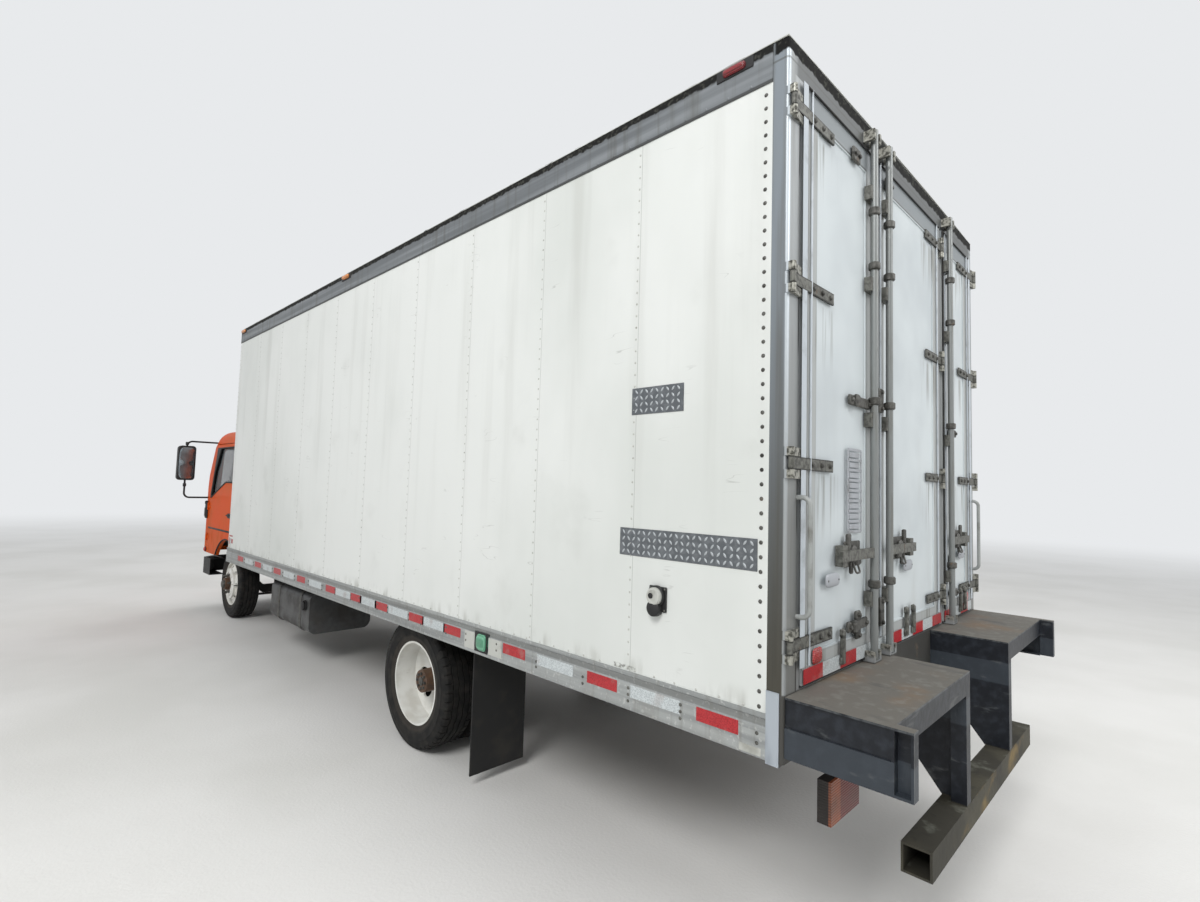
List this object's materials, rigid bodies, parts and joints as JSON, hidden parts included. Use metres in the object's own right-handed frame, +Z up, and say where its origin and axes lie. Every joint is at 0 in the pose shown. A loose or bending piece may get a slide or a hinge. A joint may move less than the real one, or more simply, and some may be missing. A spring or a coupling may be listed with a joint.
{
  "type": "box truck",
  "caption": "Low-cab box truck with a tall white van body, three swing doors at the back, twin rear wheels and a raised dock bumper.",
  "frame": {"origin": "on the ground, in the middle of the truck's length and width", "axes": "+X to the driver's left side, +Y to the rear, +Z up"},
  "size_m": [2.79, 8.8198, 3.3059],
  "materials": {
    "cab_paint": "glossy orange paint, worn and dusty",
    "body_paint": "white paint, dusty",
    "rail_metal": "bare dulled aluminium",
    "chassis_steel": "black chassis paint, dusty",
    "worn_steel": "dark paint worn to rust",
    "hardware_steel": "dulled zinc plating",
    "tyre": "black rubber",
    "rim_paint": "white enamel, dirty",
    "flap_rubber": "black rubber",
    "glass": "tinted glass",
    "black_plastic": "black textured plastic",
    "lamp_plastic": "clear and coloured lamp lenses",
    "seat_cloth": "dark woven cloth",
    "timber": "worn deck boards",
    "alloy": "rough cast aluminium"
  },
  "bodies": {
    "chassis": {"frame": "chassis_steel", "bumper": "cab_paint", "engine": "alloy", "driveline": "alloy", "front_axle": "chassis_steel", "rear_axle": "chassis_steel", "leaf_springs": "chassis_steel", "fuel_tank": "alloy", "battery_box": "black_plastic", "exhaust": "worn_steel", "mud_flaps": "flap_rubber", "box_floor": "timber", "lower_rails": "rail_metal", "side_walls": "body_paint", "front_wall": "body_paint", "roof": "rail_metal", "upper_rails": "rail_metal", "rear_frame": "body_paint", "grab_bars": "hardware_steel", "box_lamps": "lamp_plastic", "dock_bumper": "worn_steel"},
    "cab": {"cab_floor": "chassis_steel", "cab_front": "cab_paint", "cab_back": "cab_paint", "cab_roof": "cab_paint", "cab_glass": "glass", "dashboard": "black_plastic", "seats": "seat_cloth", "mirrors": "black_plastic", "headlamps": "lamp_plastic", "grille": "black_plastic"},
    "left_cab_door": {"cab_door_left": "cab_paint", "door_glass_left": "glass"},
    "right_cab_door": {"cab_door_right": "cab_paint", "door_glass_right": "glass"},
    "left_knuckle": {"knuckle_left": "chassis_steel"},
    "right_knuckle": {"knuckle_right": "chassis_steel"},
    "steering_link": {"tie_rod": "chassis_steel"},
    "front_left_wheel": {"tyre_front_left": "tyre", "rim_front_left": "rim_paint"},
    "front_right_wheel": {"tyre_front_right": "tyre", "rim_front_right": "rim_paint"},
    "rear_left_wheels": {"tyres_rear_left": "tyre", "rims_rear_left": "rim_paint"},
    "rear_right_wheels": {"tyres_rear_right": "tyre", "rims_rear_right": "rim_paint"},
    "left_rear_door": {"rear_door_left": "body_paint", "door_hardware_left": "hardware_steel"},
    "centre_rear_door": {"rear_door_centre": "body_paint", "door_hardware_centre": "hardware_steel"},
    "right_rear_door": {"rear_door_right": "body_paint", "door_hardware_right": "hardware_steel"}
  },
  "joints": [
    {"name": "left_steer", "type": "hinge", "parent": "chassis", "child": "left_knuckle", "pos_m": [0.74, -3.3, 0.4], "axis": [0, 0, 1], "range_deg": [-38, 38]},
    {"name": "right_steer", "type": "hinge", "parent": "chassis", "child": "right_knuckle", "pos_m": [-0.74, -3.3, 0.4], "axis": [0, 0, 1], "range_deg": [-38, 38]},
    {"name": "link_swing", "type": "hinge", "parent": "left_knuckle", "child": "steering_link", "pos_m": [0.74, -3.15, 0.269], "axis": [0, 0, 1], "range_deg": [-38, 38]},
    {"name": "front_left_roll", "type": "hinge", "parent": "left_knuckle", "child": "front_left_wheel", "pos_m": [0.845, -3.3, 0.4], "axis": [1, 0, 0], "continuous": true},
    {"name": "front_right_roll", "type": "hinge", "parent": "right_knuckle", "child": "front_right_wheel", "pos_m": [-0.845, -3.3, 0.4], "axis": [1, 0, 0], "continuous": true},
    {"name": "rear_left_roll", "type": "hinge", "parent": "chassis", "child": "rear_left_wheels", "pos_m": [0.897, 1.44, 0.4], "axis": [1, 0, 0], "continuous": true},
    {"name": "rear_right_roll", "type": "hinge", "parent": "chassis", "child": "rear_right_wheels", "pos_m": [-0.897, 1.44, 0.4], "axis": [1, 0, 0], "continuous": true},
    {"name": "cab_tilt", "type": "hinge", "parent": "chassis", "child": "cab", "pos_m": [0, -4.318, 0.69], "axis": [1, 0, 0], "range_deg": [0, 45]},
    {"name": "left_cab_door_swing", "type": "hinge", "parent": "cab", "child": "left_cab_door", "pos_m": [1.04, -4.154, 1.4], "axis": [0, 0, -1], "range_deg": [0, 70]},
    {"name": "right_cab_door_swing", "type": "hinge", "parent": "cab", "child": "right_cab_door", "pos_m": [-1.04, -4.154, 1.4], "axis": [0, 0, 1], "range_deg": [0, 70]},
    {"name": "left_rear_door_swing", "type": "hinge", "parent": "chassis", "child": "left_rear_door", "pos_m": [1.205, 4.027, 2.08], "axis": [0, 0, -1], "range_deg": [0, 240]},
    {"name": "centre_rear_door_swing", "type": "hinge", "parent": "chassis", "child": "centre_rear_door", "pos_m": [-0.5275, 4.027, 2.08], "axis": [0, 0, 1], "range_deg": [0, 140]},
    {"name": "right_rear_door_swing", "type": "hinge", "parent": "chassis", "child": "right_rear_door", "pos_m": [-1.205, 4.027, 2.08], "axis": [0, 0, 1], "range_deg": [0, 240]}
  ],
  "couplings": [
    {"joint": "right_steer", "follows": "left_steer", "ratio": 1},
    {"joint": "link_swing", "follows": "left_steer", "ratio": -1}
  ]
}
